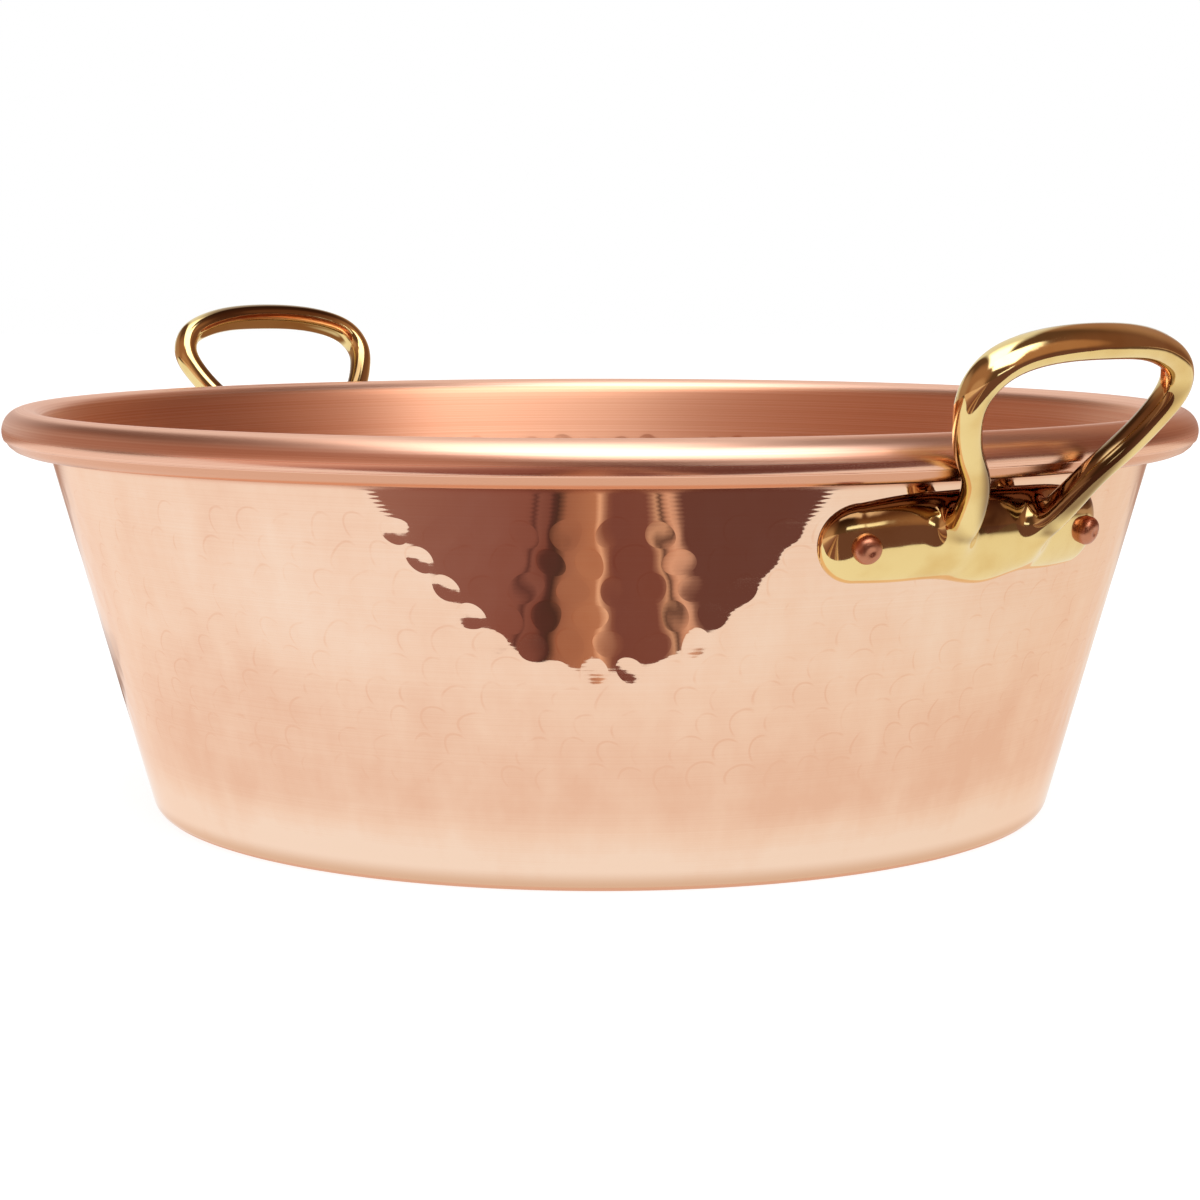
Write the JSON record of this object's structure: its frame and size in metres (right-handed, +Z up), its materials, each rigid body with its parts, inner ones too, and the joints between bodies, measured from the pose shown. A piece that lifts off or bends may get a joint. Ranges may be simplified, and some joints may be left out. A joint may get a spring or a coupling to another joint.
{
  "type": "jam pan",
  "caption": "Wide shallow pan with a flat base, leaning hammered wall and outward rolled rim, with cast loop handles riveted to the wall on opposite sides.",
  "frame": {"origin": "centre of the underside of the base, on the table", "axes": "+Z up, the pan's axis; the handles lie on X, handle_right on +X and handle_left on -X"},
  "size_m": [0.4414, 0.38, 0.1578],
  "materials": {
    "copper_sheet": "polished",
    "cast_bronze": "polished",
    "copper_rivet": "polished"
  },
  "bodies": {
    "root": {"pan_body": "copper_sheet", "handle_right": "cast_bronze", "handle_left": "cast_bronze", "rivet_right_back": "copper_rivet", "rivet_right_front": "copper_rivet", "rivet_left_back": "copper_rivet", "rivet_left_front": "copper_rivet"}
  },
  "joints": []
}
